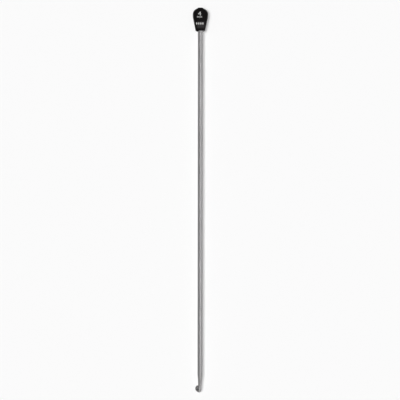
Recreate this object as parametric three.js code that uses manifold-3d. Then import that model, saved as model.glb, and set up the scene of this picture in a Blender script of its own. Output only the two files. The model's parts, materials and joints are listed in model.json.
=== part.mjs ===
// Tunisian crochet hook: a long aluminium rod with a formed hook at one end and a
// flat-faced, pear-shaped stopper knob at the other, lying on a table.
// Millimetres, +Z up, +Y from the hook to the knob. The origin is on the table, under
// the middle of the object's box.

import * as THREE from 'three';
import { mergeVertices } from 'three/addons/utils/BufferGeometryUtils.js';
import Module from 'manifold-3d';

// Driving dimensions: the rod

const overallLength = 300;
const rodDiameter = 4;
const rodEndChamfer = 0.4;

// Driving dimensions: the hook, measured from the tip of its nose

const hookDroop = 32; // degrees that the barb points below the level, seen along the rod
const neckStart = 13.4; // where the full rod ends and the taper of the neck starts
const neckEnd = 5.2;
const neckDiameter = 2.6;
const neckCurve = 1.2; // exponent of the taper, where 1 is a straight cone
const neckOffset = 0.2; // how far the slim end of the neck leans towards the barb
const throatHeight = 2.95; // middle of the round bottom of the throat
const throatWidth = 0.8; // between the neck and the lip
const lipThickness = 1.56;
const lipHeight = 5.3; // the point of the barb
const lipLean = 0.48; // how far the point leans back towards the neck
const lipFullness = 2.6; // exponent of the lip's outline, where 2 is an ellipse
const noseLean = 0.9; // how far the nose's lowest point is moved from the middle towards the rod
const noseFullness = 1.25; // exponent of the nose's outline at the back, where 2 is an ellipse
const bellyFullness = 2.45; // the same on the barb's side, which is rounder
const noseWidth = 2.9; // across the hook, square to the barb
const lipWidth = 2.3;
const cheekFullness = 3.2; // exponent of the sections past the neck, whose cheeks are struck flat

// Driving dimensions: the knob, measured from the face of its end button

const knobLength = 18.35;
const knobWidth = 11.85;
const crownDepth = 5.5; // where the knob is widest
const shoulderLength = 3; // over which the side turns from the crown into the taper
const crownFullness = 2.4; // exponent of the crown's outline, where 2 is an ellipse
const buttonDiameter = 4.5;
const buttonStand = 0.2; // the button's face above the top of the crown
const buttonEdge = 0.15;
const faceStart = 3.4; // the flat face begins here
const faceLength = 7.2;
const faceWall = 0.95; // plastic between the bore and the flat face
const mouthWall = 1.55; // plastic beside the bore at the knob's lower end, its mouth
const mouthFaceWall = 0.65; // plastic above the bore at the mouth
const flankWidth = 2.8; // width of the rounded flank beside the flat face
const crownLevel = 0.05; // least share of the width that is level, at the top of the crown
const mouthLevel = 0.02; // the same at the knob's lower end
const mouthEdge = 0.9; // height of the rounded edge round the mouth
const mouthRounding = 0.6; // share of the wall at the mouth that this edge takes off
const capLength = 4.3; // solid plastic beyond the end of the bore

// Driving dimensions: how the knob holds the rod

const boreClearance = 0.05; // radial
const endClearance = 0.3; // between the rod's end and the bottom of the bore
const boreChamfer = 0.15;
const grooveCount = 4;
const groovePitch = 2.2;
const grooveDepth = 0.3;
const grooveWidth = 0.9;
const grooveFloor = 0.3;
const firstGroove = 2; // from the rod's end to the middle of the first groove

// Fineness of the facets

const around = 48;
const flankSteps = 10;

// Sizes that follow from these

const rodRadius = rodDiameter / 2;
const neckFront = neckOffset + neckDiameter / 2;
const neckBack = neckOffset - neckDiameter / 2;
const lipOutside = neckFront + throatWidth + lipThickness;
const boreRadius = rodRadius + boreClearance;
const boreDepth = knobLength - capLength;
const rodEnd = overallLength - capLength - endClearance;
const faceHalf = boreRadius + faceWall;
const mouthHalf = boreRadius + mouthWall;
const faceEnd = faceStart + faceLength;

const wasm = await Module();
wasm.setup();

// Joins a stack of rings, each a list of the same number of points, into one closed skin.
// Each end is closed by a fan round the middle of its ring.
function skin(rings) {
  const count = rings[0].length;
  const points = rings.flat();
  const middle = (ring) => new THREE.Box3().setFromPoints(ring).getCenter(new THREE.Vector3());
  const first = points.push(middle(rings[0])) - 1;
  const last = points.push(middle(rings.at(-1))) - 1;
  const index = [];
  for (let i = 0; i < count; i++) {
    const j = (i + 1) % count;
    index.push(first, j, i);
    index.push(last, (rings.length - 1) * count + i, (rings.length - 1) * count + j);
    for (let k = 0; k + 1 < rings.length; k++) {
      const low = k * count;
      const high = low + count;
      index.push(low + i, low + j, high + j);
      index.push(low + i, high + j, high + i);
    }
  }
  const geometry = new THREE.BufferGeometry().setFromPoints(points);
  geometry.setIndex(index);
  return geometry;
}

// A closed geometry as a solid that can be joined and cut.
function solidOf(geometry) {
  const bare = geometry.clone();
  bare.deleteAttribute('normal');
  bare.deleteAttribute('uv');
  const merged = mergeVertices(bare, 1e-4);
  const vertProperties = new Float32Array(merged.attributes.position.array);
  const triVerts = new Uint32Array(merged.index.array);
  return new wasm.Manifold(new wasm.Mesh({ numProp: 3, vertProperties, triVerts }));
}

function geometryOf(solid) {
  const mesh = solid.getMesh();
  const geometry = new THREE.BufferGeometry();
  geometry.setAttribute('position', new THREE.BufferAttribute(mesh.vertProperties, 3));
  geometry.setIndex(new THREE.BufferAttribute(mesh.triVerts, 1));
  geometry.computeVertexNormals();
  return geometry;
}

// Eases from one value to another with no kink at either end.
function ease(from, to, share) {
  return THREE.MathUtils.lerp(from, to, THREE.MathUtils.smoothstep(share, 0, 1));
}

// Hook rod
// The rod lies along Y with the nose at 0. The barb points to -X, so u, the way out
// along the barb, is -X, and Z goes across the hook.

// A sine or cosine, reshaped so that the oval drawn with it becomes fuller or sharper than
// an ellipse, whose fullness is 2.
function filled(wave, fullness) {
  return Math.sign(wave) * Math.abs(wave) ** (2 / fullness);
}

// An oval ring between an inner and an outer point of the hook's outline.
function hookRing(inner, outer, halfWidth, fullness = 2) {
  const centre = inner.clone().add(outer).multiplyScalar(0.5);
  const reach = outer.clone().sub(centre);
  const across = new THREE.Vector3(0, 0, halfWidth);
  return Array.from({ length: around }, (_, i) => {
    const angle = (i / around) * 2 * Math.PI;
    const outwards = filled(Math.cos(angle), fullness);
    const sideways = filled(Math.sin(angle), fullness);
    return centre.clone().addScaledVector(reach, outwards).addScaledVector(across, sideways);
  });
}

function outline(u, y) {
  return new THREE.Vector3(-u, y, 0);
}

function roundRing(radius, y, offset = 0) {
  return hookRing(outline(offset + radius, y), outline(offset - radius, y), radius);
}

// The end that the knob hides, with ring grooves that the glue fills. Their sides slope evenly.
function anchorRings() {
  const floorRadius = rodRadius - grooveDepth;
  const rings = [roundRing(rodRadius - rodEndChamfer, rodEnd), roundRing(rodRadius, rodEnd - rodEndChamfer)];
  for (let i = 0; i < grooveCount; i++) {
    const middle = rodEnd - firstGroove - i * groovePitch;
    rings.push(roundRing(rodRadius, middle + grooveWidth / 2));
    rings.push(roundRing(floorRadius, middle + grooveFloor / 2));
    rings.push(roundRing(floorRadius, middle - grooveFloor / 2));
    rings.push(roundRing(rodRadius, middle - grooveWidth / 2));
  }
  return rings;
}

// The neck tapers and leans a little towards the barb as it nears it.
function neckRings() {
  const steps = 12;
  return Array.from({ length: steps + 1 }, (_, i) => {
    const share = i / steps;
    const taper = 1 - (1 - share) ** neckCurve;
    const radius = THREE.MathUtils.lerp(rodRadius, neckDiameter / 2, taper);
    return roundRing(radius, THREE.MathUtils.lerp(neckStart, neckEnd, share), neckOffset * share ** 2);
  });
}

// The rings fan out round the throat, from the back over the nose to the lip. Their inner
// ends follow the throat's round bottom. Their outer ends follow the nose, a leaning half
// oval that is nearly straight at the back and grows rounder towards the barb.
function noseRings() {
  const steps = 16;
  const throat = neckFront + throatWidth / 2;
  const nose = (neckBack + lipOutside) / 2;
  return Array.from({ length: steps + 1 }, (_, i) => {
    const share = i / steps;
    const angle = Math.PI * (1 + share);
    const across = Math.cos(angle);
    const down = Math.sin(angle);
    const inner = outline(throat + (throatWidth / 2) * across, throatHeight + (throatWidth / 2) * down);
    const fullness = ease(noseFullness, bellyFullness, share);
    const outwards = nose + (lipOutside - nose) * filled(across, fullness) - noseLean * down ** 2;
    const outer = outline(outwards, throatHeight * (1 + filled(down, fullness)));
    const width = share < 0.5
      ? ease(neckDiameter, noseWidth, 2 * share)
      : ease(noseWidth, lipWidth, 2 * share - 1);
    return hookRing(inner, outer, width / 2, ease(2, cheekFullness, 2 * share));
  });
}

// The lip rises beside the throat, leans back towards the neck and closes to a blunt point.
function lipRings() {
  const steps = 12;
  const middle = lipOutside - lipThickness / 2;
  return Array.from({ length: steps }, (_, i) => {
    const rise = Math.sin(((i + 1) / (steps + 0.5)) * (Math.PI / 2));
    const close = (1 - rise ** lipFullness) ** (1 / lipFullness);
    const y = THREE.MathUtils.lerp(throatHeight, lipHeight, rise);
    const here = middle - lipLean * rise ** 2;
    const inner = outline(here - (lipThickness / 2) * close, y);
    const outer = outline(here + (lipThickness / 2) * close, y);
    return hookRing(inner, outer, (lipWidth / 2) * close, cheekFullness);
  });
}

function makeHookRod() {
  const rings = [...anchorRings(), ...neckRings(), ...noseRings(), ...lipRings()];
  return geometryOf(solidOf(skin(rings)));
}

// End knob
// s runs from the face of the end button, down the knob, to its mouth.

function crownCurve(s, depth, half) {
  const share = (depth - s) / (depth - buttonStand);
  return half * (1 - share ** crownFullness) ** (1 / crownFullness);
}

// Half the width at s: a full round crown, a shoulder, then a straight taper.
function knobHalfWidth(s) {
  const half = knobWidth / 2;
  if (s < crownDepth) {
    return crownCurve(s, crownDepth, half);
  }
  const slope = (half - mouthHalf) / (knobLength - crownDepth - shoulderLength / 2);
  const past = s - crownDepth;
  if (past < shoulderLength) {
    return half - (slope * past ** 2) / (2 * shoulderLength);
  }
  return half - slope * (past - shoulderLength / 2);
}

// Half the thickness at s: the crown rises to the flat face, and past the face the knob
// falls off in a curve to its mouth.
function knobHalfThickness(s) {
  if (s < faceStart) {
    return crownCurve(s, faceStart, faceHalf);
  }
  return faceHalf - (faceWall - mouthFaceWall) * sharePastFace(s) ** 2;
}

function sharePastFace(s) {
  return Math.max(s - faceEnd, 0) / (knobLength - faceEnd);
}

// How much of the half width is level. The rest is the rounded flank, which takes up
// the whole section at the mouth and at the top of the crown.
function knobLevel(s) {
  const level = Math.max(1 - flankWidth / knobHalfWidth(s), crownLevel);
  return ease(level, mouthLevel, sharePastFace(s));
}

// One section of the knob: level above and below, with a quarter oval on each flank. A share
// of the wall at the mouth can be taken off all round.
function knobRing(s, cut = 0) {
  const halfWidth = knobHalfWidth(s) - cut * mouthWall;
  const halfThickness = knobHalfThickness(s) - cut * mouthFaceWall;
  const level = halfWidth * knobLevel(s);
  const quarter = Array.from({ length: flankSteps + 1 }, (_, i) => {
    const angle = (i / flankSteps) * (Math.PI / 2);
    return [level + (halfWidth - level) * Math.cos(angle), halfThickness * Math.sin(angle)];
  });
  const upper = [...quarter, ...quarter.toReversed().map(([x, z]) => [-x, z])];
  const under = upper.slice(1, -1).map(([x, z]) => [-x, -z]);
  return [...upper, ...under].map(([x, z]) => new THREE.Vector3(x, overallLength - s, z));
}

function knobRings() {
  const crownSteps = 14;
  const crown = Array.from({ length: crownSteps }, (_, i) => {
    const angle = ((i + 1) / crownSteps) * (Math.PI / 2);
    return knobRing(crownDepth - (crownDepth - buttonStand) * Math.cos(angle));
  });
  const shoulderSteps = 5;
  const shoulder = Array.from({ length: shoulderSteps }, (_, i) => {
    return knobRing(crownDepth + (shoulderLength * (i + 1)) / shoulderSteps);
  });
  const edgeSteps = 4;
  const edge = Array.from({ length: edgeSteps + 1 }, (_, i) => {
    const angle = (i / edgeSteps) * (Math.PI / 2);
    const s = knobLength - mouthEdge * (1 - Math.sin(angle));
    return knobRing(s, mouthRounding * (1 - Math.cos(angle)));
  });
  const taperSteps = 6;
  const taper = Array.from({ length: taperSteps }, (_, i) => {
    return knobRing(THREE.MathUtils.lerp(faceEnd, knobLength - mouthEdge, i / taperSteps));
  });
  return [...crown, ...shoulder, ...taper, ...edge];
}

// The round button on the end, with its foot buried in the crown.
function buttonSolid() {
  const radius = buttonDiameter / 2;
  const foot = overallLength - crownDepth / 2;
  const profile = new THREE.Path();
  profile.moveTo(0, foot);
  profile.lineTo(radius, foot);
  profile.lineTo(radius, overallLength - buttonEdge);
  profile.absarc(radius - buttonEdge, overallLength - buttonEdge, buttonEdge, 0, Math.PI / 2);
  profile.lineTo(0, overallLength);
  return solidOf(new THREE.LatheGeometry(profile.getPoints(2), around));
}

// The blind bore that the rod's grooved end is glued into, with a cone at its bottom.
function boreSolid() {
  const mouth = overallLength - knobLength;
  const bottom = mouth + boreDepth;
  const outside = 1; // the cutter starts this far out of the mouth
  const profile = new THREE.Path();
  profile.moveTo(0, mouth - outside);
  profile.lineTo(boreRadius + boreChamfer + outside, mouth - outside);
  profile.lineTo(boreRadius, mouth + boreChamfer);
  profile.lineTo(boreRadius, bottom);
  profile.lineTo(0, bottom + boreRadius / 2);
  return solidOf(new THREE.LatheGeometry(profile.getPoints(), around));
}

function makeEndKnob() {
  return geometryOf(solidOf(skin(knobRings())).add(buttonSolid()).subtract(boreSolid()));
}

// Assembly

function named(name, geometry, material) {
  const mesh = new THREE.Mesh(geometry, material);
  mesh.name = name;
  return mesh;
}

const aluminium = new THREE.MeshStandardMaterial({ color: 0xa9a8a9, roughness: 0.38, metalness: 1 });
const blackPlastic = new THREE.MeshStandardMaterial({ color: 0x171517, roughness: 0.45, metalness: 0 });

const hookRod = named('hook_rod', makeHookRod(), aluminium);
hookRod.rotation.y = -THREE.MathUtils.degToRad(hookDroop);
const endKnob = named('end_knob', makeEndKnob(), blackPlastic);

// On the table the hook touches at two places: the edge of the knob's lower face, and
// whichever point of the hook comes down first as the whole turns about that edge.
function restTilt() {
  hookRod.updateMatrix();
  const points = hookRod.geometry.clone().applyMatrix4(hookRod.matrix).attributes.position;
  const edgeY = overallLength - faceEnd;
  let tilt = Infinity;
  for (let i = 0; i < points.count; i++) {
    if (points.getY(i) < edgeY / 2) {
      tilt = Math.min(tilt, Math.atan2(points.getZ(i) + faceHalf, edgeY - points.getY(i)));
    }
  }
  return tilt;
}

const lying = new THREE.Group();
lying.add(hookRod, endKnob);
lying.rotation.x = restTilt();

const tunisianCrochetHook = new THREE.Group();
tunisianCrochetHook.add(lying);
const box = new THREE.Box3().setFromObject(tunisianCrochetHook, true);
const middle = box.getCenter(new THREE.Vector3());
lying.position.set(-middle.x, -middle.y, -box.min.z);

export default tunisianCrochetHook;
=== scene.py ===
import json
import math

import bmesh
import bpy
from mathutils import Matrix, Vector


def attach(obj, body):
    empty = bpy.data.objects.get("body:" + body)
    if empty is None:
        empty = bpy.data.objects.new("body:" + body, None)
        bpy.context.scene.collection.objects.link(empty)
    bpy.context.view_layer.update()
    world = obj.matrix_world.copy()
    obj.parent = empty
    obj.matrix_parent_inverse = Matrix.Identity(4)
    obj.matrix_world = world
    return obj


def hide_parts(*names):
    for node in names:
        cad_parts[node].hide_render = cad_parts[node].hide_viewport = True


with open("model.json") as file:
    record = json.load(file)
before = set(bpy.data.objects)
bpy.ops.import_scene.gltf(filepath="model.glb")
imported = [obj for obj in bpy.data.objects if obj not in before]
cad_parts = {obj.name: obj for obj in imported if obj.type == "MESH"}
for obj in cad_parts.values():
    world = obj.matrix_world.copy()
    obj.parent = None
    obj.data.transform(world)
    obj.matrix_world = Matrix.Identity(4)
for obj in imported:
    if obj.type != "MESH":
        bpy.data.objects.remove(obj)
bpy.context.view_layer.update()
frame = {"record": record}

# Table and light
# The hook lies on a plain white table. A soft light from the left throws the short
# shadow on its right, and a broad fill from the right, without shadows, lights the metal.

TABLE_SIZE = 8.0
TABLE_WHITE = (0.93, 0.93, 0.93, 1)
TABLE_ROUGHNESS = 0.9
KEY_HEIGHT = math.radians(67)
KEY_SOFTNESS = math.radians(26)
KEY_STRENGTH = 1.78
FILL_HEIGHT = math.radians(74)
FILL_SOFTNESS = math.radians(94)
FILL_STRENGTH = 1.42
ROOM_GREY = 0.08


def node(tree, kind, *values, **settings):
    """Adds a node, connects or sets its first inputs in order, and returns it."""
    made = tree.nodes.new(kind)
    for name, setting in settings.items():
        setattr(made, name, setting)
    for socket, value in zip(made.inputs, values):
        connect(tree, value, socket)
    return made


def connect(tree, value, socket):
    """Links an output to an input, or sets the input to a plain value."""
    if isinstance(value, bpy.types.NodeSocket):
        tree.links.new(value, socket)
    elif value is not None:
        socket.default_value = value


def new_material(name):
    """A material with its Principled shader, whose sockets the caller sets by name."""
    material = bpy.data.materials.new(name)
    material.use_nodes = True
    return material, material.node_tree, material.node_tree.nodes["Principled BSDF"].inputs


def lay_table():
    bpy.ops.mesh.primitive_plane_add(size=TABLE_SIZE)
    table = bpy.context.object
    table.name = "table"
    material, tree, principled = new_material("table_white")
    principled["Base Color"].default_value = TABLE_WHITE
    principled["Roughness"].default_value = TABLE_ROUGHNESS
    principled["Specular IOR Level"].default_value = 0
    table.data.materials.append(material)


def hang_light(name, side, height, softness, strength):
    """A distant light on the left (side -1) or right (side 1), at an angle over the table."""
    light = bpy.data.lights.new(name, "SUN")
    light.energy = strength
    light.angle = softness
    lamp = bpy.data.objects.new(name, light)
    lamp.rotation_euler = (0, side * (math.pi / 2 - height), 0)
    bpy.context.scene.collection.objects.link(lamp)
    return lamp


lay_table()
key = hang_light("key", -1, KEY_HEIGHT, KEY_SOFTNESS, KEY_STRENGTH)
key.visible_glossy = False
fill = hang_light("fill", 1, FILL_HEIGHT, FILL_SOFTNESS, FILL_STRENGTH)
fill.data.use_shadow = False
fill.data.cycles.use_multiple_importance_sampling = False

room = bpy.data.worlds.new("room")
room.use_nodes = True
room.node_tree.nodes["Background"].inputs["Color"].default_value = (ROOM_GREY, ROOM_GREY, ROOM_GREY, 1)
bpy.context.scene.world = room
bpy.context.scene.view_settings.view_transform = "Standard"

# Camera
# It looks straight down on the hook from a metre away, with the knob at the top.

CAMERA_HEIGHT = 1.0
CAMERA_OFFSET = -0.00014
CAMERA_LEAD = 0.0002
CAMERA_TURN = math.radians(0.06)
FRAME_WIDTH = 0.3130
SENSOR = 36.0

camera_data = bpy.data.cameras.new("camera")
camera_data.sensor_width = SENSOR
camera_data.lens = SENSOR * CAMERA_HEIGHT / FRAME_WIDTH
camera = bpy.data.objects.new("camera", camera_data)
camera.location = (CAMERA_OFFSET, CAMERA_LEAD, CAMERA_HEIGHT)
camera.rotation_euler = (0, 0, CAMERA_TURN)
bpy.context.scene.collection.objects.link(camera)
bpy.context.scene.camera = camera

# Hook rod
# One piece of drawn aluminium wire. The hook is formed at its end, tumbled smooth and
# polished by the yarn, and the other end is grooved and glued into the knob.

MM = 0.001
OVERALL_LENGTH = 300
ROD_DIAMETER = 4
ROD_END_CHAMFER = 0.4
HOOK_DROOP = 32
NECK_START = 13.4
NECK_END = 5.2
NECK_DIAMETER = 2.6
NECK_CURVE = 1.2
NECK_OFFSET = 0.2
THROAT_HEIGHT = 2.95
THROAT_WIDTH = 0.8
LIP_THICKNESS = 1.56
LIP_HEIGHT = 5.3
LIP_LEAN = 0.48
LIP_FULLNESS = 2.6
NOSE_LEAN = 0.9
NOSE_FULLNESS = 1.25
BELLY_FULLNESS = 2.45
NOSE_WIDTH = 2.9
LIP_WIDTH = 2.3
CHEEK_FULLNESS = 3.2
CAP_LENGTH = 4.3
END_CLEARANCE = 0.3
GROOVE_COUNT = 4
GROOVE_PITCH = 2.2
GROOVE_DEPTH = 0.3
GROOVE_WIDTH = 0.9
GROOVE_FLOOR = 0.3
FIRST_GROOVE = 2
SHANK_STEP = 6
ROD_RADIUS = ROD_DIAMETER / 2
ROD_END = OVERALL_LENGTH - CAP_LENGTH - END_CLEARANCE
ROD_AROUND = 96

# The hook lies a little aslant, on its nose and on the knob. The button's mount gives
# the place and the direction of the rod's axis, with Y along the rod from nose to knob.
button_mount = next(m for m in frame["record"]["mounts"] if m["name"] == "knob_end_button")
rod_axis = Vector(button_mount["axis"])
nose_tip = Vector(button_mount["pos_m"]) - rod_axis * OVERALL_LENGTH * MM
sideways = Vector((1, 0, 0))
lying = Matrix((sideways, rod_axis, sideways.cross(rod_axis))).transposed().to_4x4()
lying = Matrix.Translation(nose_tip) @ lying @ Matrix.Scale(MM, 4)


class Value:
    """A number that runs through a node tree, so that a rule reads as plain arithmetic."""

    def __init__(self, tree, socket):
        self.tree = tree
        self.socket = socket

    def math(self, operation, *others, clamp=False):
        values = [v.socket if isinstance(v, Value) else v for v in (self, *others)]
        made = node(self.tree, "ShaderNodeMath", *values, operation=operation, use_clamp=clamp)
        return Value(self.tree, made.outputs[0])

    def __add__(self, other):
        return self.math("ADD", other)

    def __sub__(self, other):
        return self.math("SUBTRACT", other)

    def __mul__(self, other):
        return self.math("MULTIPLY", other)

    def __truediv__(self, other):
        return self.math("DIVIDE", other)

    def __pow__(self, other):
        return self.math("POWER", other)


class Ring:
    """One section of a skin: an oval round a centre, with a share of its width kept level.

    The skin comes no nearer to the centre than the core, and the ridge stands out of both sides.
    """

    def __init__(self, centre, reach, across, level=0.0, core=-1.0, ridge=0.0, fullness=2.0):
        self.centre = Vector(centre)
        self.reach = Vector(reach)
        self.across = Vector(across)
        self.level = level
        self.fullness = fullness
        self.core = core
        self.ridge = ridge


RING_VECTORS = ("reach", "across")
RING_NUMBERS = ("level", "core", "ridge", "fullness")
RING_MERGE = 0.001


def ring_points(name, rings):
    """A mesh with one point at each ring's centre, which carries the ring's sizes."""
    mesh = bpy.data.meshes.new(name)
    mesh.from_pydata([ring.centre for ring in rings], [], [])
    for word in RING_VECTORS:
        values = [number for ring in rings for number in getattr(ring, word)]
        mesh.attributes.new(word, "FLOAT_VECTOR", "POINT").data.foreach_set("vector", values)
    for word in RING_NUMBERS:
        values = [getattr(ring, word) for ring in rings]
        mesh.attributes.new(word, "FLOAT", "POINT").data.foreach_set("value", values)
    return mesh


def new_tree(name, sockets):
    """A Geometry Nodes tree with named inputs, and the sockets that its nodes read them from."""
    tree = bpy.data.node_groups.new(name, "GeometryNodeTree")
    tree.interface.new_socket("Geometry", in_out="OUTPUT", socket_type="NodeSocketGeometry")
    for word, kind in sockets.items():
        tree.interface.new_socket(word, in_out="INPUT", socket_type="NodeSocket" + kind)
    return tree, tree.nodes.new("NodeGroupInput").outputs


def close_tree(tree, geometry, material):
    """Ends a tree: instances made real, then the material, then the output."""
    real = node(tree, "GeometryNodeRealizeInstances", geometry).outputs[0]
    dressed = node(tree, "GeometryNodeSetMaterial", real)
    connect(tree, material, dressed.inputs["Material"])
    node(tree, "NodeGroupOutput", dressed.outputs[0])


def ring_skin_tree():
    """Stretches a grid over the rings: one row of the grid for each ring, then closed."""
    tree, inputs = new_tree("ring_skin", {
        "Rings": "Geometry",
        "Around": "Int",
        "Gather": "Float",
        "Fillet": "Float",
        "Ridge Width": "Float",
        "Material": "Material",
    })
    size = node(tree, "GeometryNodeAttributeDomainSize", inputs["Rings"], component="MESH")
    around = Value(tree, inputs["Around"])
    columns = around + 1
    grid = node(tree, "GeometryNodeMeshGrid", 1, 1, size.outputs["Point Count"], columns.socket)
    index = Value(tree, node(tree, "GeometryNodeInputIndex").outputs[0])
    row = (index / columns).math("FLOOR")
    turn = (index - row * columns + 0.5) / around * (2 * math.pi)
    angle = turn - (turn * 2).math("SINE") * inputs["Gather"]

    def of_ring(word, kind):
        """An attribute of this row's ring."""
        sample = node(tree, "GeometryNodeSampleIndex", data_type=kind, domain="POINT")
        if word == "position":
            source = node(tree, "GeometryNodeInputPosition").outputs[0]
        else:
            source = node(tree, "GeometryNodeInputNamedAttribute", word, data_type=kind).outputs[0]
        connect(tree, inputs["Rings"], sample.inputs["Geometry"])
        connect(tree, source, sample.inputs["Value"])
        connect(tree, row.socket, sample.inputs["Index"])
        return sample.outputs[0]

    def vector_math(operation, first, second=None, scale=None):
        made = node(tree, "ShaderNodeVectorMath", first, second, operation=operation)
        if scale is not None:
            connect(tree, scale.socket, made.inputs["Scale"])
        return made.outputs["Value"] if operation == "LENGTH" else made.outputs["Vector"]

    power = Value(tree, of_ring("fullness", "FLOAT")) ** -1 * 2

    def reshaped(wave):
        """A sine or cosine, pushed outwards for a section that is fuller than an ellipse."""
        return wave.math("ABSOLUTE") ** power * wave.math("SIGN")

    level = Value(tree, of_ring("level", "FLOAT"))
    cosine = reshaped(angle.math("COSINE"))
    sine = reshaped(angle.math("SINE"))
    outwards = level * cosine.math("SIGN") + cosine - level * cosine
    reach = of_ring("reach", "FLOAT_VECTOR")
    across = of_ring("across", "FLOAT_VECTOR")
    spread = vector_math(
        "ADD", vector_math("SCALE", reach, scale=outwards), vector_math("SCALE", across, scale=sine)
    )
    core = Value(tree, of_ring("core", "FLOAT"))
    radius = Value(tree, vector_math("LENGTH", spread)).math("SMOOTH_MAX", core, inputs["Fillet"])
    round_core = vector_math("SCALE", vector_math("NORMALIZE", spread), scale=radius)
    off_line = Value(tree, vector_math("LENGTH", across)) * sine / inputs["Ridge Width"]
    height = Value(tree, of_ring("ridge", "FLOAT")) * (off_line * off_line * -1).math("EXPONENT")
    ridge = vector_math("SCALE", vector_math("NORMALIZE", reach), scale=height * cosine.math("SIGN"))
    off_centre = vector_math("ADD", round_core, ridge)
    place = vector_math("ADD", off_centre, of_ring("position", "FLOAT_VECTOR"))
    placed = node(tree, "GeometryNodeSetPosition", grid.outputs["Mesh"])
    connect(tree, place, placed.inputs["Position"])
    merged = node(tree, "GeometryNodeMergeByDistance", placed.outputs[0])
    merged.inputs["Distance"].default_value = RING_MERGE
    close_tree(tree, merged.outputs[0], inputs["Material"])
    return tree


RING_SKIN = ring_skin_tree()
CREASE_ANGLE = math.radians(32)
DOUBLES_GAP = 0.0005


def grow(name, mesh, tree, material, matrix, **sizes):
    """Runs a tree on a mesh and leaves a plain, closed, smooth mesh at its place in the frame."""
    piece = bpy.data.objects.new(name, mesh)
    bpy.context.scene.collection.objects.link(piece)
    modifier = piece.modifiers.new("grow", "NODES")
    modifier.node_group = tree
    sizes["Material"] = material
    for item in tree.interface.items_tree:
        if item.in_out == "INPUT" and item.name in sizes:
            modifier[item.identifier] = sizes[item.name]
    bpy.context.view_layer.update()
    grown = bpy.data.meshes.new_from_object(piece.evaluated_get(bpy.context.evaluated_depsgraph_get()))
    piece.modifiers.remove(modifier)
    piece.data = grown
    grown.name = name
    tidy_mesh(grown)
    grown.transform(matrix)
    return piece


def tidy_mesh(mesh):
    """Merges doubles, turns the faces outwards and shades smooth up to the creases."""
    work = bmesh.new()
    work.from_mesh(mesh)
    bmesh.ops.remove_doubles(work, verts=work.verts, dist=DOUBLES_GAP)
    bmesh.ops.recalc_face_normals(work, faces=work.faces)
    work.to_mesh(mesh)
    work.free()
    mesh.shade_smooth()
    mesh.set_sharp_from_angle(angle=CREASE_ANGLE)


def mix(start, end, share):
    return start + (end - start) * share


def ease(start, end, share):
    share = min(max(share, 0), 1)
    return mix(start, end, share * share * (3 - 2 * share))


def filled(wave, fullness):
    """A sine or cosine, reshaped for an outline that is fuller or sharper than an ellipse."""
    return math.copysign(abs(wave) ** (2 / fullness), wave)


def outline(u, y):
    """A point of the hook's outline, u out along the barb, which points to -X."""
    return Vector((-u, y, 0))


def hook_ring(inner, outer, half_width, fullness=2.0):
    centre = (inner + outer) / 2
    return Ring(centre, outer - centre, (0, 0, half_width), fullness=fullness)


def round_ring(radius, y, offset=0.0):
    return hook_ring(outline(offset + radius, y), outline(offset - radius, y), radius)


def anchor_rings():
    """The end that the knob hides, with ring grooves that the glue fills."""
    floor_radius = ROD_RADIUS - GROOVE_DEPTH
    rings = [round_ring(0, ROD_END), round_ring(ROD_RADIUS - ROD_END_CHAMFER, ROD_END)]
    rings.append(round_ring(ROD_RADIUS, ROD_END - ROD_END_CHAMFER))
    for i in range(GROOVE_COUNT):
        middle = ROD_END - FIRST_GROOVE - i * GROOVE_PITCH
        rings.append(round_ring(ROD_RADIUS, middle + GROOVE_WIDTH / 2))
        rings.append(round_ring(floor_radius, middle + GROOVE_FLOOR / 2))
        rings.append(round_ring(floor_radius, middle - GROOVE_FLOOR / 2))
        rings.append(round_ring(ROD_RADIUS, middle - GROOVE_WIDTH / 2))
    return rings


def shank_rings():
    start = ROD_END - FIRST_GROOVE - GROOVE_COUNT * GROOVE_PITCH
    steps = math.ceil((start - NECK_START) / SHANK_STEP)
    return [round_ring(ROD_RADIUS, mix(start, NECK_START, i / steps)) for i in range(steps)]


def neck_rings():
    steps = 36
    rings = []
    for i in range(steps + 1):
        share = i / steps
        taper = 1 - (1 - share) ** NECK_CURVE
        radius = mix(ROD_RADIUS, NECK_DIAMETER / 2, taper)
        rings.append(round_ring(radius, mix(NECK_START, NECK_END, share), NECK_OFFSET * share ** 2))
    return rings


def nose_rings():
    """They fan out round the throat, from the back over the nose to the lip."""
    steps = 64
    neck_front = NECK_OFFSET + NECK_DIAMETER / 2
    neck_back = NECK_OFFSET - NECK_DIAMETER / 2
    lip_outside = neck_front + THROAT_WIDTH + LIP_THICKNESS
    throat = neck_front + THROAT_WIDTH / 2
    nose = (neck_back + lip_outside) / 2
    rings = []
    for i in range(1, steps + 1):
        share = i / steps
        angle = math.pi * (1 + share)
        across = math.cos(angle)
        down = math.sin(angle)
        inner = outline(throat + THROAT_WIDTH / 2 * across, THROAT_HEIGHT + THROAT_WIDTH / 2 * down)
        fullness = ease(NOSE_FULLNESS, BELLY_FULLNESS, share)
        outwards = nose + (lip_outside - nose) * filled(across, fullness) - NOSE_LEAN * down ** 2
        outer = outline(outwards, THROAT_HEIGHT * (1 + filled(down, fullness)))
        if share < 0.5:
            width = ease(NECK_DIAMETER, NOSE_WIDTH, 2 * share)
        else:
            width = ease(NOSE_WIDTH, LIP_WIDTH, 2 * share - 1)
        rings.append(hook_ring(inner, outer, width / 2, ease(2, CHEEK_FULLNESS, 2 * share)))
    return rings


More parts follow.
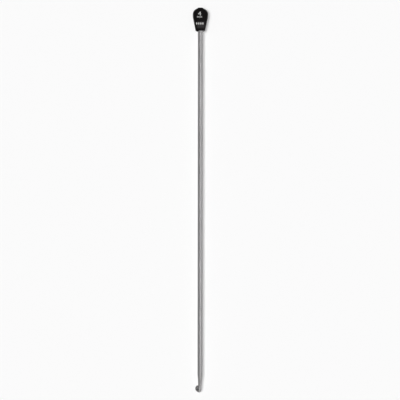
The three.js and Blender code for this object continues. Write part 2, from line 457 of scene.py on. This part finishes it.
def lip_rings():
    """The lip leans back towards the neck and closes to a blunt point."""
    steps = 32
    middle = NECK_OFFSET + NECK_DIAMETER / 2 + THROAT_WIDTH + LIP_THICKNESS / 2
    rings = []
    for i in range(1, steps + 1):
        rise = math.sin(i / steps * math.pi / 2)
        close = (1 - rise ** LIP_FULLNESS) ** (1 / LIP_FULLNESS)
        y = mix(THROAT_HEIGHT, LIP_HEIGHT, rise)
        here = middle - LIP_LEAN * rise ** 2
        inner = outline(here - LIP_THICKNESS / 2 * close, y)
        outer = outline(here + LIP_THICKNESS / 2 * close, y)
        rings.append(hook_ring(inner, outer, LIP_WIDTH / 2 * close, CHEEK_FULLNESS))
    return rings


SMUDGE_START = 0.4
SMUDGE_CONTRAST = 3.5
SCRATCH_STRETCH = (1, 0.03, 1)
SCRATCH_FINENESS = 160
PATCH_SEED = 7.0
PATCH_CONTRAST = 6


def handling_group():
    """What use leaves on a surface: smudges of skin oil, and fine scratches along the rod."""
    tree = bpy.data.node_groups.new("handling", "ShaderNodeTree")
    for word, kind in (("Place", "Vector"), ("Smudge Scale", "Float"), ("Scratch Scale", "Float")):
        tree.interface.new_socket(word, in_out="INPUT", socket_type="NodeSocket" + kind)
    for word in ("Smudge", "Scratch"):
        tree.interface.new_socket(word, in_out="OUTPUT", socket_type="NodeSocketFloat")
    inputs = tree.nodes.new("NodeGroupInput").outputs
    smudge = noise(tree, inputs["Place"], inputs["Smudge Scale"], detail=3, roughness=0.6)
    soft = (smudge - SMUDGE_START).math("MULTIPLY", SMUDGE_CONTRAST, clamp=True)
    along = node(tree, "ShaderNodeVectorMath", inputs["Place"], SCRATCH_STRETCH, operation="MULTIPLY")
    wander = noise(tree, along.outputs["Vector"], inputs["Scratch Scale"], detail=0)
    line = (wander - 0.5).math("ABSOLUTE")
    patch = noise(tree, inputs["Place"], inputs["Smudge Scale"], detail=0, fourth=PATCH_SEED)
    sparse = (patch - 0.5).math("MULTIPLY", PATCH_CONTRAST, clamp=True)
    scratch = (line * -SCRATCH_FINENESS + 1).math("MAXIMUM", 0) * sparse
    node(tree, "NodeGroupOutput", soft.socket, scratch.socket)
    return tree


def noise(tree, place, scale, detail=2.0, roughness=0.5, fourth=None):
    """A noise texture's value, from 0 to 1 round 0.5."""
    made = node(tree, "ShaderNodeTexNoise", noise_dimensions="3D" if fourth is None else "4D")
    connect(tree, place, made.inputs["Vector"])
    connect(tree, scale, made.inputs["Scale"])
    if fourth is not None:
        made.inputs["W"].default_value = fourth
    made.inputs["Detail"].default_value = detail
    made.inputs["Roughness"].default_value = roughness
    return Value(tree, made.outputs["Fac"])


def place_on_piece(tree, stretch):
    """Object coordinates in millimetres, turned to run along the rod and stretched."""
    place = node(tree, "ShaderNodeTexCoord").outputs["Object"]
    mapping = node(tree, "ShaderNodeMapping", place, vector_type="TEXTURE")
    mapping.inputs["Location"].default_value = nose_tip
    mapping.inputs["Rotation"].default_value = lying.to_euler()
    mapping.inputs["Scale"].default_value = [MM / amount for amount in stretch]
    return mapping.outputs[0]


MIX_DARK = 6
MIX_LIGHT = 7
MIX_RESULT = 2


def shade_between(tree, share, dark, light):
    """A colour that runs from dark to light with the share, by the mix node's colour sockets."""
    made = node(tree, "ShaderNodeMix", data_type="RGBA")
    connect(tree, share.socket, made.inputs["Factor"])
    connect(tree, dark, made.inputs[MIX_DARK])
    connect(tree, light, made.inputs[MIX_LIGHT])
    return made.outputs[MIX_RESULT]


def ramp(value, end, length, wander=0.0):
    """0 up to the end, then rising to 1 over the length, with an edge that wanders a little."""
    return ((value - end) / length).math("ADD", wander, clamp=True)


HANDLING = handling_group()
FINE_LINES = (1, 0.012, 1)
FINE_SCALE = 9
FINE_SHARE = 0.7
BROAD_LINES = (1, 0.02, 1)
BROAD_SCALE = 1.1
LINE_CONTRAST = 2.4
LINE_DEPTH = 0.004
METAL_SMUDGES = 0.12
METAL_SCRATCHES = 0.35
METAL_SCRATCH_LIGHT = 0.3
METAL_SCRATCH_DEPTH = 0.8
METAL_ROUGHNESS = 0.42
LINES_ROUGHEN = 0.3
SMUDGES_ROUGHEN_METAL = 0.06
SCRATCHES_POLISH_METAL = 0.1
DRAWN_DARK = (0.47, 0.463, 0.467, 1)
DRAWN_LIGHT = (0.655, 0.645, 0.65, 1)
POLISH_START = 22
POLISH_END = 9
EDGE_TINT = (0.1, 0.1, 0.1, 1)
# Painted shade: how dark the metal colour is made round the throat
THROAT_SHADE_TONE = 0.5
THROAT_SPOT = (-2.6, 3.8, 0)
THROAT_REACH = 1.6
THROAT_FADE = 1.1
THROAT_WANDER = 0.3


def drawn_aluminium():
    """Satin metal with the fine lines of the drawing die along it, polished at the hook, and darkened
    round the throat by painted shade.
    """
    material, tree, principled = new_material("drawn_aluminium")
    fine = noise(tree, place_on_piece(tree, FINE_LINES), FINE_SCALE, detail=3, roughness=0.65)
    broad = noise(tree, place_on_piece(tree, BROAD_LINES), BROAD_SCALE, detail=1)
    lines = fine * FINE_SHARE + broad * (1 - FINE_SHARE)
    plain = place_on_piece(tree, (1, 1, 1))
    marks = node(tree, "ShaderNodeGroup", node_tree=HANDLING)
    connect(tree, plain, marks.inputs["Place"])
    marks.inputs["Smudge Scale"].default_value = METAL_SMUDGES
    marks.inputs["Scratch Scale"].default_value = METAL_SCRATCHES
    smudge = Value(tree, marks.outputs["Smudge"])
    scratch = Value(tree, marks.outputs["Scratch"])
    height = Value(tree, node(tree, "ShaderNodeSeparateXYZ", plain).outputs["Y"])
    dull = ramp(height, POLISH_END, POLISH_START - POLISH_END)
    streaks = (lines - 0.5) * LINE_CONTRAST + 0.5
    contrast = streaks.math("ADD", scratch * METAL_SCRATCH_LIGHT, clamp=True)
    # Painted shade: the colour darkens towards the throat, where the slot lies in the hook's own shade
    from_throat = node(tree, "ShaderNodeVectorMath", plain, THROAT_SPOT, operation="DISTANCE")
    distance = Value(tree, from_throat.outputs["Value"])
    unshaded = ramp(distance, THROAT_REACH, THROAT_FADE, (smudge - 0.5) * THROAT_WANDER)
    throat_shade = unshaded * (1 - THROAT_SHADE_TONE) + THROAT_SHADE_TONE
    drawn = shade_between(tree, contrast, DRAWN_DARK, DRAWN_LIGHT)
    shade = node(tree, "ShaderNodeVectorMath", drawn, operation="SCALE")
    connect(tree, throat_shade.socket, shade.inputs["Scale"])
    connect(tree, shade.outputs[0], principled["Base Color"])
    principled["Metallic"].default_value = 1
    principled["Specular Tint"].default_value = EDGE_TINT
    worn = smudge * SMUDGES_ROUGHEN_METAL - scratch * SCRATCHES_POLISH_METAL + METAL_ROUGHNESS
    rough = (lines - 0.5) * LINES_ROUGHEN + worn
    connect(tree, rough.socket, principled["Roughness"])
    bump = node(tree, "ShaderNodeBump")
    connect(tree, (fine * dull - scratch * METAL_SCRATCH_DEPTH).socket, bump.inputs["Height"])
    bump.inputs["Distance"].default_value = LINE_DEPTH * MM
    connect(tree, bump.outputs[0], principled["Normal"])
    return material


rod_rings = anchor_rings() + shank_rings() + neck_rings() + nose_rings() + lip_rings()
rod = grow(
    "formed_rod",
    ring_points("rod_rings", rod_rings),
    RING_SKIN,
    drawn_aluminium(),
    lying @ Matrix.Rotation(-math.radians(HOOK_DROOP), 4, "Y"),
    Around=ROD_AROUND,
)
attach(rod, "root")
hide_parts("hook_rod")

# End knob
# A black plastic stopper, moulded in two halves round a core pin that leaves the bore,
# and glued on the rod. The parting line runs round its sides and the gate is on the button.

KNOB_LENGTH = 18.35
KNOB_WIDTH = 11.85
CROWN_DEPTH = 5.5
SHOULDER_LENGTH = 3
CROWN_FULLNESS = 2.4
BUTTON_DIAMETER = 4.5
BUTTON_STAND = 0.2
BUTTON_EDGE = 0.15
BUTTON_FILLET = 0.7
GATE_DIAMETER = 1.3
GATE_DEPTH = 0.08
FACE_START = 3.4
FACE_LENGTH = 7.2
FACE_WALL = 0.95
MOUTH_WALL = 1.55
MOUTH_FACE_WALL = 0.65
FLANK_WIDTH = 2.8
CROWN_LEVEL = 0.05
MOUTH_LEVEL = 0.02
MOUTH_EDGE = 0.9
MOUTH_ROUNDING = 0.6
BORE_CLEARANCE = 0.05
BORE_CHAMFER = 0.15
PARTING_RIDGE = 0.03
PARTING_WIDTH = 0.06
PARTING_START = 1.1
KNOB_AROUND = 144
KNOB_GATHER = 0.42
POLE_STEP = 0.005
POINT_SHARE = 0.001
BORE_RADIUS = ROD_RADIUS + BORE_CLEARANCE
BORE_DEPTH = KNOB_LENGTH - CAP_LENGTH
FACE_HALF = BORE_RADIUS + FACE_WALL
FACE_END = FACE_START + FACE_LENGTH
MOUTH_HALF = BORE_RADIUS + MOUTH_WALL


def crown_curve(s, depth, half):
    share = (depth - s) / (depth - BUTTON_STAND)
    return half * max(1 - share ** CROWN_FULLNESS, 0) ** (1 / CROWN_FULLNESS)


def knob_half_width(s):
    """A full round crown, a shoulder, then a straight taper, less the ridge on the parting line."""
    half = KNOB_WIDTH / 2 - PARTING_RIDGE
    if s < CROWN_DEPTH:
        return crown_curve(s, CROWN_DEPTH, half)
    slope = (half - MOUTH_HALF) / (KNOB_LENGTH - CROWN_DEPTH - SHOULDER_LENGTH / 2)
    past = s - CROWN_DEPTH
    if past < SHOULDER_LENGTH:
        return half - slope * past ** 2 / (2 * SHOULDER_LENGTH)
    return half - slope * (past - SHOULDER_LENGTH / 2)


def share_past_face(s):
    return max(s - FACE_END, 0) / (KNOB_LENGTH - FACE_END)


def knob_half_thickness(s):
    if s < FACE_START:
        return crown_curve(s, FACE_START, FACE_HALF)
    return FACE_HALF - (FACE_WALL - MOUTH_FACE_WALL) * share_past_face(s) ** 2


def knob_level(s):
    level = max(1 - FLANK_WIDTH / knob_half_width(s), CROWN_LEVEL)
    return ease(level, MOUTH_LEVEL, share_past_face(s))


def knob_ring(s, cut=0.0, core=-1.0):
    """The knob's section at s from its end, less a share of the wall where its mouth is rounded."""
    ridge = PARTING_RIDGE if s > PARTING_START else 0
    return Ring(
        (0, OVERALL_LENGTH - s, 0),
        (knob_half_width(s) - cut * MOUTH_WALL, 0, 0),
        (0, 0, knob_half_thickness(s) - cut * MOUTH_FACE_WALL),
        knob_level(s),
        core,
        ridge,
    )


def button_rings():
    """The button's face with the gate in its middle, then its edge and side.

    Each is a mere point in the crown's proportions, which its core widens to a round ring.
    """
    pole = knob_ring(BUTTON_STAND + POLE_STEP)
    gate = GATE_DIAMETER / 2
    radius = BUTTON_DIAMETER / 2
    steps = 6
    corners = [(0, GATE_DEPTH), (gate - GATE_DEPTH, GATE_DEPTH), (gate, 0)]
    for i in range(steps + 1):
        angle = i / steps * math.pi / 2
        core = radius - BUTTON_EDGE * (1 - math.sin(angle))
        corners.append((core, BUTTON_EDGE * (1 - math.cos(angle))))
    reach = pole.reach * POINT_SHARE
    across = pole.across * POINT_SHARE
    return [Ring((0, OVERALL_LENGTH - s, 0), reach, across, pole.level, core) for core, s in corners]


def crown_rings():
    steps = 44
    rings = []
    for i in range(1, steps + 1):
        s = CROWN_DEPTH - (CROWN_DEPTH - BUTTON_STAND) * math.cos(i / steps * math.pi / 2)
        core = BUTTON_DIAMETER / 2 if s < FACE_START else -1
        rings.append(knob_ring(s, core=core))
    return rings


def body_rings():
    end = KNOB_LENGTH - MOUTH_EDGE
    steps = 40
    rings = [knob_ring(mix(CROWN_DEPTH, end, i / steps)) for i in range(1, steps)]
    edge_steps = 10
    for i in range(edge_steps + 1):
        angle = i / edge_steps * math.pi / 2
        s = KNOB_LENGTH - MOUTH_EDGE * (1 - math.sin(angle))
        rings.append(knob_ring(s, MOUTH_ROUNDING * (1 - math.cos(angle))))
    return rings


def bore_rings():
    """From the mouth's chamfer up the bore to the cone at its bottom."""
    mouth = OVERALL_LENGTH - KNOB_LENGTH
    bottom = mouth + BORE_DEPTH
    corners = [
        (BORE_RADIUS + BORE_CHAMFER, mouth),
        (BORE_RADIUS, mouth + BORE_CHAMFER),
        (BORE_RADIUS, bottom),
        (0, bottom + BORE_RADIUS / 2),
    ]
    return [Ring((0, y, 0), (radius, 0, 0), (0, 0, radius)) for radius, y in corners]


GRAIN_SCALE = 7
GRAIN_DEPTH = 0.012
CLOUD_SCALE = 0.5
CLOUD_SHARE = 0.7
KNOB_SMUDGES = 0.35
KNOB_SCRATCHES = 0.8
KNOB_SCRATCH_LIGHT = 0.35
KNOB_SCRATCH_DEPTH = 0.6
PLASTIC_ROUGHNESS = 0.36
PLASTIC_GLOSS = 0.07
GRAIN_ROUGHENS = 0.16
SMUDGES_ROUGHEN_KNOB = 0.08
SCRATCHES_ROUGHEN_KNOB = 0.1
MATT_ROUGHENS = 0.2
PLASTIC_DARK = (0.0026, 0.002, 0.0023, 1)
PLASTIC_LIGHT = (0.006, 0.0048, 0.0054, 1)
# Painted sheen: the lighter colours of the band down the knob's lower face
PAINTED_SHEEN_DARK = (0.014, 0.0125, 0.0132, 1)
PAINTED_SHEEN_LIGHT = (0.051, 0.0475, 0.049, 1)
SCUFF = (0.09, 0.088, 0.09, 1)
MATT_SHEEN_TOP = 10.5
MATT_SHEEN_BOTTOM = 16.6
MATT_SHEEN_EDGE = 1.3
MATT_SHEEN_CENTRE = 0.4
MATT_SHEEN_REACH = 3.6
MATT_SHEEN_WANDER = 0.6
RIM_START = 17.75
RIM_EDGE = 0.3
RIM_CENTRE = 1
RIM_REACH = 2.4
# Painted highlight: the light grey along the rounded rim of the mouth
PAINTED_RIM_HIGHLIGHT = (0.25, 0.245, 0.25, 1)


def moulded_black():
    """Black plastic with the fine grain of the mould, rubbed a little by fingers, with a painted sheen
    on a rougher band of the lower face and a painted highlight along the mouth's rim.
    """
    material, tree, principled = new_material("moulded_black")
    place = place_on_piece(tree, (1, 1, 1))
    grain = noise(tree, place, GRAIN_SCALE, detail=3, roughness=0.7)
    cloud = noise(tree, place, CLOUD_SCALE, detail=2)
    marks = node(tree, "ShaderNodeGroup", node_tree=HANDLING)
    connect(tree, place, marks.inputs["Place"])
    marks.inputs["Smudge Scale"].default_value = KNOB_SMUDGES
    marks.inputs["Scratch Scale"].default_value = KNOB_SCRATCHES
    smudge = Value(tree, marks.outputs["Smudge"])
    scratch = Value(tree, marks.outputs["Scratch"])
    shade = cloud * CLOUD_SHARE + grain * (1 - CLOUD_SHARE)
    axes = node(tree, "ShaderNodeSeparateXYZ", place).outputs
    down = Value(tree, axes["Y"]) * -1 + OVERALL_LENGTH
    across = Value(tree, axes["X"])
    # The band down the lower face is a rougher matt patch, and its lighter colour is a painted sheen
    off_matt_sheen = (across - MATT_SHEEN_CENTRE).math("ABSOLUTE")
    off_rim = (across - RIM_CENTRE).math("ABSOLUTE")
    wander = (grain - 0.5) * MATT_SHEEN_WANDER
    start = ramp(down, MATT_SHEEN_TOP, MATT_SHEEN_EDGE, wander)
    end = ramp(down * -1, -MATT_SHEEN_BOTTOM, MATT_SHEEN_EDGE, wander)
    matt_and_sheen = start * end * ramp(off_matt_sheen * -1, -MATT_SHEEN_REACH, MATT_SHEEN_EDGE, wander)
    # Painted highlight: a lighter line along the right part of the mouth's rim
    rim_highlight = ramp(down, RIM_START, RIM_EDGE) * ramp(off_rim * -1, -RIM_REACH, RIM_EDGE)
    smooth_colour = shade_between(tree, shade, PLASTIC_DARK, PLASTIC_LIGHT)
    sheen_colour = shade_between(tree, shade, PAINTED_SHEEN_DARK, PAINTED_SHEEN_LIGHT)
    plastic = shade_between(tree, matt_and_sheen, smooth_colour, sheen_colour)
    plastic = shade_between(tree, rim_highlight, plastic, PAINTED_RIM_HIGHLIGHT)
    scuffed = shade_between(tree, scratch * KNOB_SCRATCH_LIGHT, plastic, SCUFF)
    connect(tree, scuffed, principled["Base Color"])
    moulded = grain * GRAIN_ROUGHENS + matt_and_sheen * MATT_ROUGHENS + PLASTIC_ROUGHNESS
    rough = moulded + smudge * SMUDGES_ROUGHEN_KNOB + scratch * SCRATCHES_ROUGHEN_KNOB
    connect(tree, rough.socket, principled["Roughness"])
    principled["Specular IOR Level"].default_value = PLASTIC_GLOSS
    bump = node(tree, "ShaderNodeBump")
    connect(tree, (grain - scratch * KNOB_SCRATCH_DEPTH).socket, bump.inputs["Height"])
    bump.inputs["Distance"].default_value = GRAIN_DEPTH * MM
    connect(tree, bump.outputs[0], principled["Normal"])
    return material


knob_rings = button_rings() + crown_rings() + body_rings() + bore_rings()
knob_sizes = {
    "Around": KNOB_AROUND,
    "Gather": KNOB_GATHER,
    "Fillet": BUTTON_FILLET,
    "Ridge Width": PARTING_WIDTH,
}
knob = grow(
    "moulded_knob",
    ring_points("knob_rings", knob_rings),
    RING_SKIN,
    moulded_black(),
    lying,
    **knob_sizes,
)
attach(knob, "root")
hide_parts("end_knob")

# Size mark
# Light grey ink, pad printed on the knob's upper face: the rod's size in millimetres, and
# further down a plain row of pips. The ink lies on the moulded surface as a thin film.

INK_THICKNESS = 0.03
INK_GRID = 0.25
NUMBER_HEIGHT = 3.1
NUMBER_SPREAD = 1.16
NUMBER_PLACE = (-0.57, 4.72)
UNIT_HEIGHT = 1.3
UNIT_SPREAD = 0.89
UNIT_PLACE = (-0.58, 7.4)
LETTER_SPACING = 1.1
PIP_COUNT = 4
PIP_PITCH = 1.6
PIP_WIDTH = 0.9
PIP_HEIGHT = 1.8
PIP_PLACE = (-0.42, 12.5)
PIP_SIDES = 40
PIP_FILL = 5
INK_SCALE = 5
INK_CONTRAST = 3
INK_COVER = 0.75
INK_ROUGHNESS = 0.4
GRAIN_ROUGHENS_INK = 0.3
INK_DARK = (0.35, 0.35, 0.35, 1)
INK_LIGHT = (0.62, 0.62, 0.61, 1)


def printed_grey():
    """Pad-printing ink, a little thin and grainy where the pad lifted."""
    material, tree, principled = new_material("printed_grey")
    place = place_on_piece(tree, (1, 1, 1))
    film = noise(tree, place, INK_SCALE, detail=3, roughness=0.6)
    cover = ((film - 0.5) * INK_CONTRAST).math("ADD", INK_COVER, clamp=True)
    connect(tree, shade_between(tree, cover, INK_DARK, INK_LIGHT), principled["Base Color"])
    connect(tree, (film * GRAIN_ROUGHENS_INK + INK_ROUGHNESS).socket, principled["Roughness"])
    return material


def knob_top(x, s):
    """The height of the knob's upper surface over the rod's axis."""
    half = knob_half_width(s)
    level = half * knob_level(s)
    off = max(abs(x) - level, 0) / (half - level)
    return knob_half_thickness(s) * math.sqrt(max(1 - off ** 2, 0))


def slice_film(mesh):
    """Cuts a flat film along a fine grid, so that it can bend with the surface under it."""
    work = bmesh.new()
    work.from_mesh(mesh)
    for normal in (Vector((1, 0, 0)), Vector((0, 1, 0))):
        places = [vertex.co.dot(normal) for vertex in work.verts]
        cut = min(places) + INK_GRID
        while cut < max(places):
            everything = work.verts[:] + work.edges[:] + work.faces[:]
            bmesh.ops.bisect_plane(work, geom=everything, plane_co=normal * cut, plane_no=normal)
            cut += INK_GRID
    work.to_mesh(mesh)
    work.free()


def lay_ink(mesh, x, s):
    """Moves a flat film to its place on the knob and lets it follow the surface."""
    slice_film(mesh)
    for vertex in mesh.vertices:
        vertex.co.x += x
        vertex.co.y += OVERALL_LENGTH - s
        vertex.co.z += knob_top(vertex.co.x, OVERALL_LENGTH - vertex.co.y)


def printed_text(name, words, height, spread, place):
    """A word in the plain built-in type, brought to a height and spread a little in width."""
    text = bpy.data.curves.new(name, "FONT")
    text.body = words
    text.align_x = "CENTER"
    text.align_y = "CENTER"
    text.size = height
    text.space_character = LETTER_SPACING
    text.extrude = INK_THICKNESS / 2
    writer = bpy.data.objects.new(name, text)
    bpy.context.scene.collection.objects.link(writer)
    bpy.context.view_layer.update()
    mesh = bpy.data.meshes.new_from_object(writer.evaluated_get(bpy.context.evaluated_depsgraph_get()))
    bpy.data.objects.remove(writer)
    levels = [vertex.co.y for vertex in mesh.vertices]
    growth = height / (max(levels) - min(levels))
    mesh.transform(Matrix.Translation((0, -(max(levels) + min(levels)) / 2, 0)))
    mesh.transform(Matrix.Diagonal((growth * spread, growth, 1, 1)))
    lay_ink(mesh, *place)
    tidy_mesh(mesh)
    mesh.materials.clear()
    mesh.materials.append(INK)
    piece = bpy.data.objects.new(name, mesh)
    bpy.context.scene.collection.objects.link(piece)
    return piece


def pip_row_tree():
    """A row of flat oval discs, centred on the origin."""
    tree, inputs = new_tree("pip_row", {
        "Count": "Int",
        "Pitch": "Float",
        "Width": "Float",
        "Height": "Float",
        "Thickness": "Float",
        "Sides": "Int",
        "Material": "Material",
    })
    pitch = Value(tree, inputs["Pitch"])
    start = (Value(tree, inputs["Count"]) - 1) * pitch / -2
    line = node(tree, "GeometryNodeMeshLine", inputs["Count"])
    first = node(tree, "ShaderNodeCombineXYZ", start.socket)
    offset = node(tree, "ShaderNodeCombineXYZ", pitch.socket)
    connect(tree, first.outputs[0], line.inputs["Start Location"])
    connect(tree, offset.outputs[0], line.inputs["Offset"])
    disc = node(tree, "GeometryNodeMeshCylinder", inputs["Sides"], fill_type="TRIANGLE_FAN")
    disc.inputs["Fill Segments"].default_value = PIP_FILL
    disc.inputs["Radius"].default_value = 0.5
    connect(tree, inputs["Thickness"], disc.inputs["Depth"])
    size = node(tree, "ShaderNodeCombineXYZ", inputs["Width"], inputs["Height"], 1.0)
    row = node(tree, "GeometryNodeInstanceOnPoints", line.outputs[0])
    connect(tree, disc.outputs["Mesh"], row.inputs["Instance"])
    connect(tree, size.outputs[0], row.inputs["Scale"])
    close_tree(tree, row.outputs[0], inputs["Material"])
    return tree


INK = printed_grey()
number = printed_text("size_number", "4", NUMBER_HEIGHT, NUMBER_SPREAD, NUMBER_PLACE)
unit = printed_text("size_unit", "mm", UNIT_HEIGHT, UNIT_SPREAD, UNIT_PLACE)
pips = grow(
    "pip_row",
    bpy.data.meshes.new("pip_row"),
    pip_row_tree(),
    INK,
    Matrix.Identity(4),
    Count=PIP_COUNT,
    Pitch=PIP_PITCH,
    Width=PIP_WIDTH,
    Height=PIP_HEIGHT,
    Thickness=INK_THICKNESS,
    Sides=PIP_SIDES,
)
lay_ink(pips.data, *PIP_PLACE)
for mark in (number, unit, pips):
    mark.data.transform(lying)
    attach(mark, "root")
